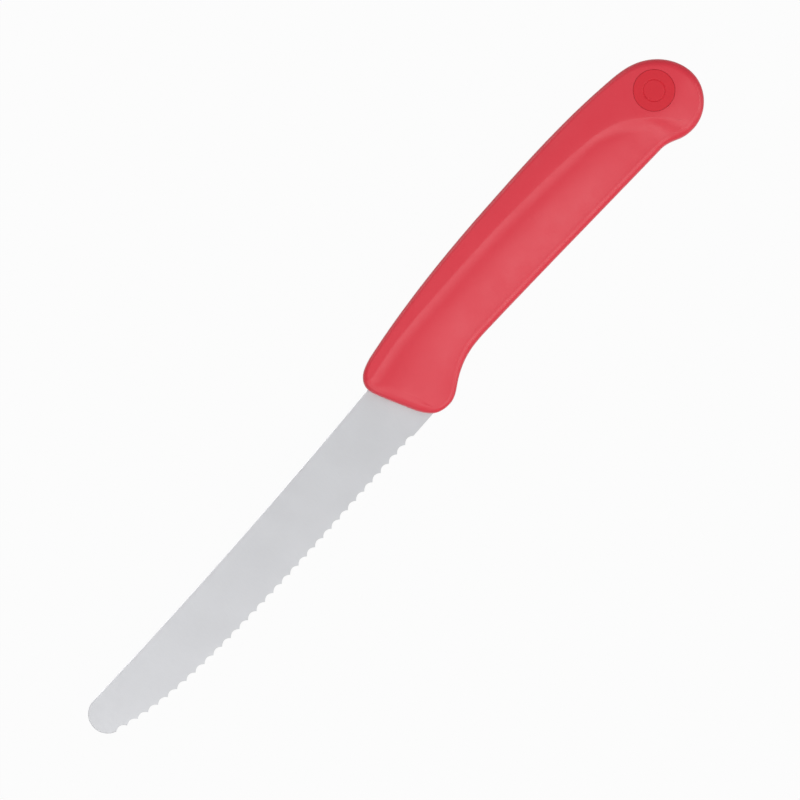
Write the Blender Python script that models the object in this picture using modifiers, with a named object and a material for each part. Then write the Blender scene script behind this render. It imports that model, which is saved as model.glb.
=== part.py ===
"""A breakfast knife: a round-ended serrated blade in a two-layer moulded handle.

Drawing axes: x runs from the front of the handle to its butt, y from the cutting edge to the spine,
and z out of the blade's middle plane, towards the side that carries the medallion.
The knife lies on its side, so the empty that carries it lifts that middle plane by half the handle's thickness.
"""
import math

import bmesh
import bpy
import numpy as np

MM = 0.001

# Clearance between pieces that touch
GAP = 0.3 * MM

# Blade, from the front of the handle to the tip
BLADE_LENGTH = 107.8 * MM
BLADE_THICKNESS = 1.2 * MM
SPINE_HEIGHT = 5.45 * MM
SPINE_HOLLOW = 0.8 * MM
HEEL_DEPTH = 10.65 * MM
TIP_RADIUS = 4.83 * MM
TIP_EDGE_ANGLE = 248.0

# Cutting edge: a straight part, then a rise to the tip, with scalloped notches ground from the far side
STRAIGHT_EDGE = 30.0 * MM
EDGE_RISE = 2.8 * MM
PLAIN_HEEL = 1.07 * MM
NOTCH_COUNT = 34
NOTCH_DEPTH = 0.76 * MM
NOTCH_STEPS = 5
EDGE_THICKNESS = 0.15 * MM
GRIND_WIDTH = 3.2 * MM

# Tang, and how far the full-width blade goes into the handle
SEAT_DEPTH = 3.0 * MM
TANG_LENGTH = 68.0 * MM
TANG_WIDTH = 8.6 * MM
TANG_MIDDLE = 0.4 * MM
TANG_HOLE_DIAMETER = 5.0 * MM
TANG_HOLE_FIRST = 16.0 * MM
TANG_HOLE_SPACING = 34.0 * MM

# Handle
HANDLE_LENGTH = 112.2 * MM
HANDLE_THICKNESS = 13.6 * MM
FRONT_SLANT = 19.7
FRONT_TOP = 2.6 * MM
FRONT_OVERHANG = 0.55 * MM
NOSE_RISE = 3.75 * MM
SPINE_CROWN = 13.3 * MM
CROWN_PLACE = 53.0 * MM
GUARD_COVER = 1.55 * MM
BELLY_FRONT = 7.1 * MM
BELLY_REAR = 9.7 * MM
BUTT_DEPTH = 12.4 * MM

# Width of the rounded rim all round the handle, seen from its side
FRONT_RIM = 1.6 * MM
NOSE_RIM = 1.3 * MM
SPINE_RIM = 1.5 * MM
BUTT_RIM = 2.8 * MM
BELLY_RIM = 1.9 * MM
GUARD_RIM = 1.3 * MM

# Height of the rim's round shoulder as a share of its width, at most a share of the whole rim's height, and
# how far the wall below it leans inwards for its height
RIM_SHOULDER = 0.85
SHOULDER_LIMIT = 0.9
WALL_DRAFT = 0.02

# Scoop for the fingers: a cove down from the crease, then a floor that falls away to the belly
SCOOP_STEP = 0.55 * MM
SCOOP_FALL = 1.5 * MM
STEP_WIDTH_FRONT = 1.7 * MM
STEP_WIDTH_REAR = 2.9 * MM
STEP_END = 3.5 * MM
STEP_FADE = 6.5 * MM
SCOOP_FADE = 13.0 * MM
CREASE_START = 2.1 * MM
SCOOP_END_FROM_BUTT = 8.7 * MM

# Shares of the scoop's step and fall at places along the crease, as shares of the handle's length
STEP_SHARES = ((0.0, 0.9), (0.53, 0.85), (0.66, 0.6), (0.73, 0.6), (0.8, 1.0), (1.0, 1.0))
FALL_SHARES = ((0.0, 1.0), (0.52, 1.0), (0.62, 0.82), (0.76, 0.5), (0.8, 0.4), (0.85, 0.22), (0.9, 0.05))

# Largest fall of the spine band towards its rim, and its shares along the spine from the nose to the butt's end
BAND_FALL = 0.36 * MM
BAND_SHARES = ((0.0, 0.0), (0.22, 0.0), (0.37, 0.33), (0.56, 1.0), (0.74, 1.0), (0.8, 0.22), (0.86, 0.0),
               (1.0, 0.0))
BAND_POWER = 2.5

# Fall of the butt below the medallion: its slope, its rounding at the medallion's rim, the distances from the
# butt between which it sets in, and how far round from the middle of the lower side (as cosines)
BUTT_SLOPE = 0.13
BUTT_ROUND = 1.5 * MM
BUTT_FALL_START = 22.0 * MM
BUTT_FALL_FULL = 12.0 * MM
BUTT_FALL_SIDES = (0.3, 0.95)

# Soft outer moulding over the hard core
GRIP_WALL = 2.0 * MM
INNER_RIM = 0.6 * MM

# Medallion near the butt
MEDALLION_DIAMETER = 10.35 * MM
MEDALLION_FROM_BUTT = 9.75 * MM
MEDALLION_HEIGHT = 1.25 * MM
MEDALLION_RECESS = 0.1 * MM
MEDALLION_CHAMFER = 0.2 * MM
RING_DIAMETER = 5.8 * MM
RING_WIDTH = 0.5 * MM
RING_DEPTH = 0.25 * MM
STUD_DIAMETER = 4.0 * MM
STUD_LENGTH = 3.0 * MM

# Spacing of the handle's stations at places along it, both in millimetres, and steps across
STATION_SPACING = ((0, 1.2), (22, 1.6), (32, 5.5), (66, 5.5), (78, 2.6), (112, 2.2))
FAN_FROM_BUTT = 36.0 * MM
COVE_STEPS = 3
FLOOR_STEPS = 6
BAND_STEPS = 3
RIM_STEPS = 4
ROUND_SEGMENTS = 32
SHARP_ANGLE = 30.0

SLANT = math.radians(FRONT_SLANT)
HALF_THICKNESS = HANDLE_THICKNESS / 2
HOLE_PLACES = (TANG_HOLE_FIRST, TANG_HOLE_FIRST + TANG_HOLE_SPACING)


def clear_scene():
    """Removes every object that the file holds."""
    for old in list(bpy.data.objects):
        bpy.data.objects.remove(old, do_unlink=True)


def new_collection(name):
    """Makes a collection in the scene."""
    collection = bpy.data.collections.new(name)
    bpy.context.scene.collection.children.link(collection)
    return collection


def material(name, colour, roughness, metallic=0.0):
    """Makes a Principled material."""
    made = bpy.data.materials.new(name)
    made.use_nodes = True
    shader = made.node_tree.nodes["Principled BSDF"]
    shader.inputs["Base Color"].default_value = (*colour, 1.0)
    shader.inputs["Roughness"].default_value = roughness
    shader.inputs["Metallic"].default_value = metallic
    made.diffuse_color = (*colour, 1.0)
    return made


def arc(centre_x, centre_y, radius, start, end, steps):
    """Points on an arc between two angles in degrees, both ends included."""
    angles = np.radians(np.linspace(start, end, steps + 1))
    return [(centre_x + radius * math.cos(a), centre_y + radius * math.sin(a)) for a in angles]


# Curves through knots

def smooth_curve(knots, closed=False, steps=60):
    """A tangent-continuous curve through knots (x, y, heading in degrees), close to an arc between each two."""
    pairs = list(zip(knots, knots[1:] + knots[:1] if closed else knots[1:]))
    points = []
    for (x0, y0, heading0), (x1, y1, heading1) in pairs:
        start = np.array((x0, y0))
        end = np.array((x1, y1))
        turn = (heading1 - heading0 + 180.0) % 360.0 - 180.0
        reach = np.linalg.norm(end - start) / (3.0 * math.cos(math.radians(turn) / 4.0) ** 2)
        first = start + reach * np.array((math.cos(math.radians(heading0)), math.sin(math.radians(heading0))))
        second = end - reach * np.array((math.cos(math.radians(heading1)), math.sin(math.radians(heading1))))
        for t in np.arange(steps) / steps:
            points.append((1 - t) ** 3 * start + 3 * (1 - t) ** 2 * t * first
                          + 3 * (1 - t) * t ** 2 * second + t ** 3 * end)
    if not closed:
        points.append(np.array(knots[-1][:2]))
    return np.array(points)


def lengths_along(points):
    """The distance from the first point to each point of a line."""
    return np.concatenate(([0.0], np.cumsum(np.linalg.norm(np.diff(points, axis=0), axis=1))))


def along(points, wanted):
    """Points of a line at the wanted distances from its start."""
    distances = lengths_along(points[:, :2])
    return np.column_stack([np.interp(wanted, distances, points[:, k]) for k in range(points.shape[1])])


def handle_outline():
    """The handle's outline, clockwise from the low end of its front face: rows of x, y and rim width."""
    rear = HANDLE_LENGTH
    front_low = FRONT_TOP + HEEL_DEPTH - 4.05 * MM
    knots = [
        (FRONT_OVERHANG + front_low * math.tan(SLANT), FRONT_TOP - front_low, 90 + FRONT_SLANT, FRONT_RIM),
        (FRONT_OVERHANG, FRONT_TOP, 90 + FRONT_SLANT - 1.5, FRONT_RIM),
        (0.0, SPINE_HEIGHT, 88, FRONT_RIM),
        (2.75 * MM, SPINE_HEIGHT + NOSE_RISE, 25, NOSE_RIM),
        (9.65 * MM, SPINE_HEIGHT + NOSE_RISE + 1.55 * MM, 7.7, NOSE_RIM),
        (CROWN_PLACE, SPINE_CROWN, 0, SPINE_RIM),
        (rear - 17.5 * MM, SPINE_CROWN - 1.85 * MM, -7.5, SPINE_RIM),
        (rear - 7.5 * MM, SPINE_CROWN - 4.2 * MM, -27, BUTT_RIM),
        (rear - 1.8 * MM, 3.8 * MM, -59, BUTT_RIM),
        (rear, -2.4 * MM, -90, BUTT_RIM),
        (rear - 4.1 * MM, 2.0 * MM - BUTT_DEPTH, -143, BUTT_RIM),
        (rear - 10.0 * MM, -BUTT_DEPTH, -180, BUTT_RIM),
        (rear - 14.9 * MM, 1.2 * MM - BUTT_DEPTH, -209, BELLY_RIM),
        (rear - 19.4 * MM, -BELLY_REAR, -182.4, BELLY_RIM),
        (33.2 * MM, -BELLY_FRONT, -182, BELLY_RIM),
        (25.3 * MM, -BELLY_FRONT, -175, BELLY_RIM),
        (15.5 * MM, 0.15 * MM - HEEL_DEPTH, -148, GUARD_RIM),
        (11.0 * MM, -GUARD_COVER - HEEL_DEPTH, -180, GUARD_RIM),
        (7.0 * MM, -0.5 * MM - HEEL_DEPTH, -213, GUARD_RIM),
        (5.06 * MM, 1.65 * MM - HEEL_DEPTH, -238, FRONT_RIM),
    ]
    steps = 60
    curve = smooth_curve([knot[:3] for knot in knots], closed=True, steps=steps)
    rims = [knot[3] for knot in knots] + [knots[0][3]]
    places = np.arange(len(curve)) / steps
    return np.column_stack((curve, np.interp(places, np.arange(len(rims)), rims)))


def crease_knots(start):
    """The crease between the flat spine band and the scoop, from a start on the nose to its end in the butt."""
    rear = HANDLE_LENGTH
    return [
        (start[0], start[1], 5),
        (14.4 * MM, SPINE_HEIGHT + 2.7 * MM, 3),
        (26.0 * MM, SPINE_HEIGHT + 2.95 * MM, 0),
        (59.0 * MM, SPINE_HEIGHT + 2.25 * MM, -4),
        (rear - 35.1 * MM, SPINE_HEIGHT + 0.6 * MM, -8),
        (rear - 27.5 * MM, SPINE_HEIGHT - 0.65 * MM, -14.5),
        (rear - 20.0 * MM, 1.7 * MM, -34),
        (rear - 11.0 * MM, 4.0 * MM - BUTT_DEPTH, -59),
    ]


def stations(first, last):
    """Places from first to last along the handle, closer together where it curves."""
    fine = np.linspace(first, last, 2000)
    places, steps = np.array(STATION_SPACING).T * MM
    local = np.interp(fine, places, steps)
    count = np.concatenate(([0.0], np.cumsum(np.diff(fine) / local[:-1])))
    return np.interp(np.linspace(0.0, count[-1], math.ceil(count[-1]) + 1), count, fine)


def nearest(points, x, y):
    """Index of the point nearest to a place."""
    return int(np.argmin(np.hypot(points[:, 0] - x, points[:, 1] - y)))


def cyclic_run(points, first, last):
    """The points of a closed line from one index on to another, both included."""
    if last < first:
        return np.vstack((points[first:], points[:last + 1]))
    return points[first:last + 1]


def eased(value, low, high):
    """0 below a range, 1 above it, and a smooth rise between."""
    share = min(max((value - low) / (high - low), 0.0), 1.0)
    return share ** 2 * (3.0 - 2.0 * share)


def butt_fall(x, y):
    """How much the butt falls away below the medallion."""
    across = x - HANDLE_LENGTH + MEDALLION_FROM_BUTT
    below = MEDALLION_HEIGHT - y
    distance = math.hypot(across, below)
    reach = distance - MEDALLION_DIAMETER / 2
    if reach <= 0.0:
        return 0.0
    side = eased(below / distance, *BUTT_FALL_SIDES)
    side *= eased(x, HANDLE_LENGTH - BUTT_FALL_START, HANDLE_LENGTH - BUTT_FALL_FULL)
    return BUTT_SLOPE * reach ** 2 / (reach + BUTT_ROUND) * side


def rim_climb(width, height):
    """Depth and height of nodes up the rim: a nearly upright wall, then a round shoulder."""
    shoulder = min(RIM_SHOULDER * width, SHOULDER_LIMIT * height)
    wall = height - shoulder
    draft = WALL_DRAFT * wall
    climb = [(0.0, 0.0)]
    for angle in np.linspace(0.0, math.pi / 2, RIM_STEPS + 1):
        climb.append((draft + (width - draft) * (1.0 - math.cos(angle)), wall + shoulder * math.sin(angle)))
    return climb


def half_handle(name, inset):
    """The upper half of the handle's body, open at the middle plane and drawn inwards by the inset.

    Lines of nodes run from the crease to the spine and from the crease to the belly. Round them, nodes climb
    a wall and a round shoulder from the middle plane to the top surface.
    """
    outline = handle_outline()
    ahead = np.roll(outline[:, :2], -1, axis=0) - np.roll(outline[:, :2], 1, axis=0)
    ahead /= np.linalg.norm(ahead, axis=1)[:, None]
    rims = outline[:, 2] if inset == 0 else np.full(len(outline), INNER_RIM)
    closed = np.column_stack((outline[:, :2], ahead[:, 1], -ahead[:, 0], rims))

    corner_top = nearest(closed, CREASE_START / 2, SPINE_HEIGHT + CREASE_START)
    corner_guard = nearest(closed, front_face(-HEEL_DEPTH), -HEEL_DEPTH)
    corner_butt = nearest(closed, HANDLE_LENGTH - SCOOP_END_FROM_BUTT, -BUTT_DEPTH)
    top_line = cyclic_run(closed, corner_top, corner_butt)
    belly_line = cyclic_run(closed, corner_butt, corner_guard)[::-1]
    front_line = cyclic_run(closed, corner_guard, corner_top)[::-1]

    def inner(node):
        return node[:2] + node[2:4] * (inset + node[4])

    crease = smooth_curve(crease_knots(inner(top_line[0])))
    fan_start = HANDLE_LENGTH - FAN_FROM_BUTT
    places = stations(crease[0, 0], fan_start)
    crease_lengths = lengths_along(crease)
    split = float(np.interp(fan_start, crease[:, 0], crease_lengths))
    fan = max(2, math.ceil((crease_lengths[-1] - split) / (STATION_SPACING[-2][1] * MM)))
    crease_nodes = np.vstack((along(crease, np.interp(places, crease[:, 0], crease_lengths)),
                              along(crease, np.linspace(split, crease_lengths[-1], fan + 1)[1:])))
    count = len(crease_nodes) - 1

    def side_nodes(line, extra):
        rising = np.argmax(line[:, 0]) + 1
        lengths = lengths_along(line[:, :2])
        spread = (places - places[0]) / (fan_start - places[0])
        begun = np.interp(line[0, 0] + (fan_start - line[0, 0]) * spread, line[:rising, 0], lengths[:rising])
        rest = np.linspace(begun[-1], lengths[-1], fan + extra + 1)[1:]
        return along(line, np.concatenate((begun, rest)))

    top_nodes = side_nodes(top_line, COVE_STEPS + FLOOR_STEPS)
    belly_nodes = side_nodes(belly_line, 0)
    top = HALF_THICKNESS - inset

    def shares(length, step_width):
        foot = min(step_width / length, 0.5)
        cove = [foot * k / COVE_STEPS for k in range(COVE_STEPS)]
        return cove + [foot + (1.0 - foot) * k / FLOOR_STEPS for k in range(FLOOR_STEPS + 1)], foot

    def scoop_height(share, foot, step, fall):
        into = min(share / foot, 1.0)
        beyond = max(0.0, (share - foot) / (1.0 - foot))
        return top - step * into * (2.0 - into) - fall * beyond ** 2 * (2.0 - beyond)

    scoop = []
    for index, start in enumerate(crease_nodes):
        end = inner(belly_nodes[index])
        width = STEP_WIDTH_FRONT + (STEP_WIDTH_REAR - STEP_WIDTH_FRONT) * index / count
        if index == 0:
            length = lengths_along(front_line[:, :2])[-1]
            parts, foot = shares(length, width)
            front_nodes = along(front_line, np.array(parts) * length)
            flat = [inner(node) for node in front_nodes]
        else:
            parts, foot = shares(np.linalg.norm(end - start), width)
            flat = [start + (end - start) * part for part in parts]
        left = crease_lengths[-1] - np.interp(start[0], crease[:, 0], crease_lengths)
        step = SCOOP_STEP * eased(left, STEP_END, STEP_END + STEP_FADE)
        step *= np.interp(start[0] / HANDLE_LENGTH, *zip(*STEP_SHARES))
        fall = SCOOP_FALL * eased(left, 0.0, SCOOP_FADE)
        fall *= np.interp(start[0] / HANDLE_LENGTH, *zip(*FALL_SHARES))
        scoop.append([(x, y, scoop_height(part, foot, step, fall) - butt_fall(x, y))
                      for (x, y), part in zip(flat, parts)])

    lower_edge = [scoop[index][0] for index in range(count + 1)] + scoop[count][1:]
    top_lengths = lengths_along(top_nodes[:, :2])
    band_falls = BAND_FALL * np.interp(top_lengths / top_lengths[-1], *zip(*BAND_SHARES))
    band_rows = []
    for low, node, fall in zip(lower_edge, top_nodes, band_falls):
        level = low[2] + butt_fall(low[0], low[1])
        row = [low]
        for share in np.arange(1, BAND_STEPS + 1) / BAND_STEPS:
            x, y = np.array(low[:2]) * (1.0 - share) + inner(node) * share
            row.append((x, y, level + (top - level) * share - fall * share ** BAND_POWER - butt_fall(x, y)))
        band_rows.append(row)

    rim_nodes = [(node, row[-1][2]) for node, row in zip(top_nodes, band_rows)]
    rim_nodes += [(node, row[-1][2]) for node, row in zip(belly_nodes[::-1], scoop[::-1])][1:]
    rim_nodes += [(node, point[2]) for node, point in zip(front_nodes[::-1], scoop[0][::-1])][1:-1]
    rim = []
    for node, height in rim_nodes:
        rim.append([(*(node[:2] + node[2:4] * (inset + depth)), z) for depth, z in rim_climb(node[4], height)])
    rim.append(rim[0])

    mesh = bmesh.new()
    made = {}

    def vertex(point):
        key = tuple(round(float(value), 8) for value in point)
        if key not in made:
            made[key] = mesh.verts.new(key)
        return made[key]

    def skin(rows, turned):
        for row, following in zip(rows, rows[1:]):
            for k in range(len(row) - 1):
                corners = [vertex(p) for p in (row[k], following[k], following[k + 1], row[k + 1])]
                corners = list(dict.fromkeys(corners))
                if len(corners) > 2:
                    mesh.faces.new(corners[::-1] if turned else corners)

    skin(rim, True)
    skin(band_rows, False)
    skin(scoop, True)
    data = bpy.data.meshes.new(name)
    mesh.to_mesh(data)
    mesh.free()
    return data


# Blade

def spine_line(x):
    """Height of the spine: level inside the handle, slightly hollow along the blade."""
    span = (BLADE_LENGTH - TIP_RADIUS) / 2
    if x > 0:
        return SPINE_HEIGHT
    return SPINE_HEIGHT - SPINE_HOLLOW * (1.0 - ((x + span) / span) ** 2)


def front_face(y):
    """Where the handle's slanted front face, or its extension, crosses a height."""
    return FRONT_OVERHANG + (FRONT_TOP - y) * math.tan(SLANT)


def tip_centre():
    """Centre of the blade's round tip."""
    x = TIP_RADIUS - BLADE_LENGTH
    return x, spine_line(x) - TIP_RADIUS


def edge_nodes():
    """Nodes of the notched cutting edge from the tip to the plain heel, with the direction into the blade."""
    centre_x, centre_y = tip_centre()
    end = math.radians(TIP_EDGE_ANGLE)
    end_x = centre_x + TIP_RADIUS * math.cos(end)
    rise = centre_y + TIP_RADIUS * math.sin(end) + HEEL_DEPTH
    x = np.linspace(end_x, -PLAIN_HEEL, 1500)
    share = np.clip((-x - STRAIGHT_EDGE) / (-end_x - STRAIGHT_EDGE), 0.0, 1.0)
    line = np.column_stack((x, EDGE_RISE * share ** 2 + (rise - EDGE_RISE) * share ** 6 - HEEL_DEPTH))
    cusps = along(line, np.linspace(0.0, lengths_along(line)[-1], NOTCH_COUNT + 1))
    nodes = []
    for start, stop in zip(cusps, cusps[1:]):
        chord = stop - start
        inward = np.array((-chord[1], chord[0])) / np.linalg.norm(chord)
        for k in range(NOTCH_STEPS):
            share = k / NOTCH_STEPS
            bulge = NOTCH_DEPTH * 4.0 * share * (1.0 - share)
            nodes.append((start + chord * share + inward * bulge, inward))
    nodes.append((cusps[-1], nodes[-1][1]))
    return nodes


def root_outline(grow):
    """The blade's root and tang, from its heel round to its spine, drawn outwards by a clearance."""
    shift = SEAT_DEPTH / math.cos(SLANT) + grow / math.cos(SLANT)
    low = TANG_MIDDLE - TANG_WIDTH / 2 - grow
    high = TANG_MIDDLE + TANG_WIDTH / 2 + grow
    corners = [(front_face(y) + shift, y) for y in (-HEEL_DEPTH - grow, low)]
    end_x = SEAT_DEPTH + TANG_LENGTH - TANG_WIDTH / 2
    corners += arc(end_x, TANG_MIDDLE, TANG_WIDTH / 2 + grow, -90, 90, 10)
    corners += [(front_face(y) + shift, y) for y in (high, SPINE_HEIGHT + grow)]
    return corners


def blade_mesh(name):
    """The blade lofted through its shown face, its edge and its ground far face."""
    centre_x, centre_y = tip_centre()
    still = np.zeros(2)
    spine = [(x, spine_line(x)) for x in np.linspace(0.0, centre_x, 13)[:-1]]
    tip = arc(centre_x, centre_y, TIP_RADIUS, 90, TIP_EDGE_ANGLE, 12)[:-1]
    nodes = [(np.array(p), still) for p in spine + tip]
    nodes += edge_nodes()
    nodes += [(np.array(p), still) for p in root_outline(0.0)]
    half = BLADE_THICKNESS / 2
    layers = ((half, 0.0), (half - EDGE_THICKNESS, 0.0), (-half, GRIND_WIDTH))
    mesh = bmesh.new()
    loops = []
    for height, ground in layers:
        loops.append([mesh.verts.new((*(place + inward * ground), height)) for place, inward in nodes])
    mesh.faces.new(loops[0])
    mesh.faces.new(loops[-1][::-1])
    for upper, lower in zip(loops, loops[1:]):
        for k in range(len(nodes)):
            following = (k + 1) % len(nodes)
            mesh.faces.new((upper[following], upper[k], lower[k], lower[following]))
    data = bpy.data.meshes.new(name)
    mesh.to_mesh(data)
    mesh.free()
    return data


# Objects

def place(name, data, collection, frame, look=None):
    """Puts a mesh under the knife's empty."""
    made = bpy.data.objects.new(name, data)
    collection.objects.link(made)
    made.parent = frame
    if look is not None:
        data.shade_smooth()
        data.set_sharp_from_angle(angle=math.radians(SHARP_ANGLE))
        data.materials.append(look)
    return made


def hide_cutter(cutter):
    """Marks an object as a cutter."""
    cutter.hide_render = True
    cutter.display_type = "WIRE"
    return cutter


def mirrored(thing):
    """Completes a half handle at the middle plane."""
    mirror = thing.modifiers.new("both sides", "MIRROR")
    mirror.use_axis = (False, False, True)
    mirror.merge_threshold = 0.00001
    return thing


def cut(thing, cutter):
    """Cuts one object by another."""
    step = thing.modifiers.new("cut " + cutter.name, "BOOLEAN")
    step.operation = "DIFFERENCE"
    step.solver = "EXACT"
    step.object = cutter


def cylinder(name, x, y, low, high, radius, collection, frame):
    """A cylinder along z between two heights."""
    bpy.ops.mesh.primitive_cylinder_add(vertices=ROUND_SEGMENTS, radius=radius, depth=high - low)
    made = bpy.context.active_object
    made.name = name
    for holder in list(made.users_collection):
        holder.objects.unlink(made)
    collection.objects.link(made)
    made.parent = frame
    made.location = (x, y, (low + high) / 2)
    return made


def plate(name, outline, holes, half_height, collection, frame):
    """A flat plate from an outline and round holes (x, y, radius)."""
    curve = bpy.data.curves.new(name, "CURVE")
    curve.dimensions = "2D"
    curve.fill_mode = "BOTH"
    curve.extrude = half_height
    rounds = [arc(x, y, radius, 0, 360, ROUND_SEGMENTS)[:-1] for x, y, radius in holes]
    for points in [outline] + rounds:
        spline = curve.splines.new("POLY")
        spline.points.add(len(points) - 1)
        spline.use_cyclic_u = True
        for point, (x, y) in zip(spline.points, points):
            point.co = (x, y, 0.0, 1.0)
    drawn = bpy.data.objects.new(name, curve)
    collection.objects.link(drawn)
    bpy.context.view_layer.update()
    evaluated = drawn.evaluated_get(bpy.context.evaluated_depsgraph_get())
    data = bpy.data.meshes.new_from_object(evaluated)
    bpy.data.objects.remove(drawn, do_unlink=True)
    mesh = bmesh.new()
    mesh.from_mesh(data)
    bmesh.ops.remove_doubles(mesh, verts=mesh.verts, dist=0.000001)
    bmesh.ops.recalc_face_normals(mesh, faces=mesh.faces)
    mesh.to_mesh(data)
    mesh.free()
    return place(name, data, collection, frame)


def turned(name, profile, x, y, z, collection, frame):
    """A solid of revolution about z from a profile (radius, height) that runs from its top to its bottom."""
    data = bpy.data.meshes.new(name)
    data.from_pydata([(radius, 0.0, height) for radius, height in profile],
                     [(k, k + 1) for k in range(len(profile) - 1)], [])
    made = place(name, data, collection, frame)
    made.location = (x, y, z)
    screw = made.modifiers.new("turn", "SCREW")
    screw.axis = "Z"
    screw.angle = 2 * math.pi
    screw.steps = ROUND_SEGMENTS
    screw.render_steps = ROUND_SEGMENTS
    screw.use_merge_vertices = True
    screw.merge_threshold = 0.00001
    screw.use_smooth_shade = False
    return made


def medallion_profile():
    """The medallion from its middle outwards: a ring groove, a chamfered rim, the underside and the stud."""
    radius = MEDALLION_DIAMETER / 2
    face = 0.0
    low = MEDALLION_RECESS - GRIP_WALL
    ring_in = RING_DIAMETER / 2 - RING_WIDTH
    ring_out = RING_DIAMETER / 2
    stud = STUD_DIAMETER / 2
    return [
        (0.0, face),
        (ring_in, face),
        (ring_in + RING_WIDTH / 2, face - RING_DEPTH),
        (ring_out, face),
        (radius - MEDALLION_CHAMFER, face),
        (radius, face - MEDALLION_CHAMFER),
        (radius, low),
        (stud, low),
        (stud, low - STUD_LENGTH),
        (0.0, low - STUD_LENGTH),
    ]


def build():
    """Makes the knife's four pieces."""
    clear_scene()
    parts = new_collection("breakfast_knife")
    cutters = new_collection("cutters")
    steel = material("brushed steel", (0.62, 0.63, 0.65), 0.32, 1.0)
    hard_red = material("hard red plastic", (0.42, 0.03, 0.05), 0.45)
    soft_red = material("soft red plastic", (0.68, 0.06, 0.085), 0.55)
    inlay_red = material("inlay red plastic", (0.56, 0.045, 0.065), 0.5)

    outline = handle_outline()
    blade_low = -HEEL_DEPTH
    frame = bpy.data.objects.new("knife", None)
    parts.objects.link(frame)
    frame.location = (
        (BLADE_LENGTH - outline[:, 0].max()) / 2,
        -(outline[:, 1].max() + min(outline[:, 1].min(), blade_low)) / 2,
        HALF_THICKNESS,
    )

    medallion_x = HANDLE_LENGTH - MEDALLION_FROM_BUTT
    core_top = HALF_THICKNESS - GRIP_WALL - GAP
    far = HANDLE_THICKNESS
    cavity = hide_cutter(mirrored(place("cut_cavity", half_handle("cut_cavity", GRIP_WALL), cutters, frame)))
    reach = front_face(SPINE_HEIGHT) - 3.0 * MM
    pegs = [(x, TANG_MIDDLE, TANG_HOLE_DIAMETER / 2 - GAP) for x in HOLE_PLACES]
    pocket_outline = [(reach, SPINE_HEIGHT + GAP), (reach, -HEEL_DEPTH - GAP)] + root_outline(GAP)
    pocket = hide_cutter(plate("cut_pocket", pocket_outline, pegs, BLADE_THICKNESS / 2 + GAP, cutters, frame))
    window = hide_cutter(cylinder("cut_window", medallion_x, MEDALLION_HEIGHT, core_top, far,
                                  MEDALLION_DIAMETER / 2 + GAP, cutters, frame))
    stud_hole = hide_cutter(cylinder("cut_stud_hole", medallion_x, MEDALLION_HEIGHT,
                                     HALF_THICKNESS - GRIP_WALL - STUD_LENGTH - GAP, far,
                                     STUD_DIAMETER / 2 + GAP, cutters, frame))

    blade = place("blade", blade_mesh("blade"), parts, frame, steel)
    for number, x in enumerate(HOLE_PLACES, start=1):
        cut(blade, hide_cutter(cylinder(f"cut_tang_hole_{number}", x, TANG_MIDDLE, -far, far,
                                        TANG_HOLE_DIAMETER / 2, cutters, frame)))

    core = mirrored(place("handle_core", half_handle("handle_core", GRIP_WALL + GAP), parts, frame, hard_red))
    cut(core, pocket)
    cut(core, stud_hole)

    grip = mirrored(place("handle_grip", half_handle("handle_grip", 0.0), parts, frame, soft_red))
    cut(grip, cavity)
    cut(grip, pocket)
    cut(grip, window)

    medallion = turned("medallion", medallion_profile(), medallion_x, MEDALLION_HEIGHT,
                       HALF_THICKNESS - MEDALLION_RECESS, parts, frame)
    medallion.data.materials.append(inlay_red)


build()
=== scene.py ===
"""The breakfast knife with its finished surfaces, in soft studio light.

Drawing axes, as in the solids: x runs from the front of the handle to its butt, y from the cutting edge to
the spine, and z out of the blade's middle plane, towards the side that carries the medallion.
"""
import math
from collections import namedtuple

import bmesh
import bpy
import numpy as np
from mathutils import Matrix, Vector


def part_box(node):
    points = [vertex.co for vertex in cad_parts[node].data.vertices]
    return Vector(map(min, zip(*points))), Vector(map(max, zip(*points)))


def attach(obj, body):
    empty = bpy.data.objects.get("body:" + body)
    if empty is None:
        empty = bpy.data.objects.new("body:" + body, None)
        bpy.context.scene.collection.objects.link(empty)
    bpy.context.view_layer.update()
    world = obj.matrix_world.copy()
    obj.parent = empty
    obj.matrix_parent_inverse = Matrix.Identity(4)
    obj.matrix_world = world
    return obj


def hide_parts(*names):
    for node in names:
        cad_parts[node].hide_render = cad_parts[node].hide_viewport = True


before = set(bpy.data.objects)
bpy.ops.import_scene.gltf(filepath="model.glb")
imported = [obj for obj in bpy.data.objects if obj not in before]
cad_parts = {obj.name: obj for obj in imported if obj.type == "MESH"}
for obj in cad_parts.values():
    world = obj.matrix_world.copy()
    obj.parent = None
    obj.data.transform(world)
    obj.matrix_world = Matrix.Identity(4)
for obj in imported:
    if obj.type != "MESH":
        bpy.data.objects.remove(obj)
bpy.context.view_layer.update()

MM = 0.001

# Driving sizes, the same as the solids'
BLADE_LENGTH = 107.8 * MM
BLADE_THICKNESS = 1.2 * MM
SPINE_HEIGHT = 5.45 * MM
SPINE_HOLLOW = 0.8 * MM
HEEL_DEPTH = 10.65 * MM
TIP_RADIUS = 4.83 * MM
TIP_EDGE_ANGLE = 248.0
STRAIGHT_EDGE = 30.0 * MM
EDGE_RISE = 2.8 * MM
PLAIN_HEEL = 1.07 * MM
NOTCH_COUNT = 34
NOTCH_DEPTH = 0.76 * MM
EDGE_THICKNESS = 0.15 * MM
GRIND_WIDTH = 3.2 * MM
SEAT_DEPTH = 3.0 * MM
TANG_LENGTH = 68.0 * MM
TANG_WIDTH = 8.6 * MM
TANG_MIDDLE = 0.4 * MM
TANG_HOLE_DIAMETER = 5.0 * MM
TANG_HOLE_FIRST = 16.0 * MM
TANG_HOLE_SPACING = 34.0 * MM
HANDLE_LENGTH = 112.2 * MM
FRONT_SLANT = 19.7
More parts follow.
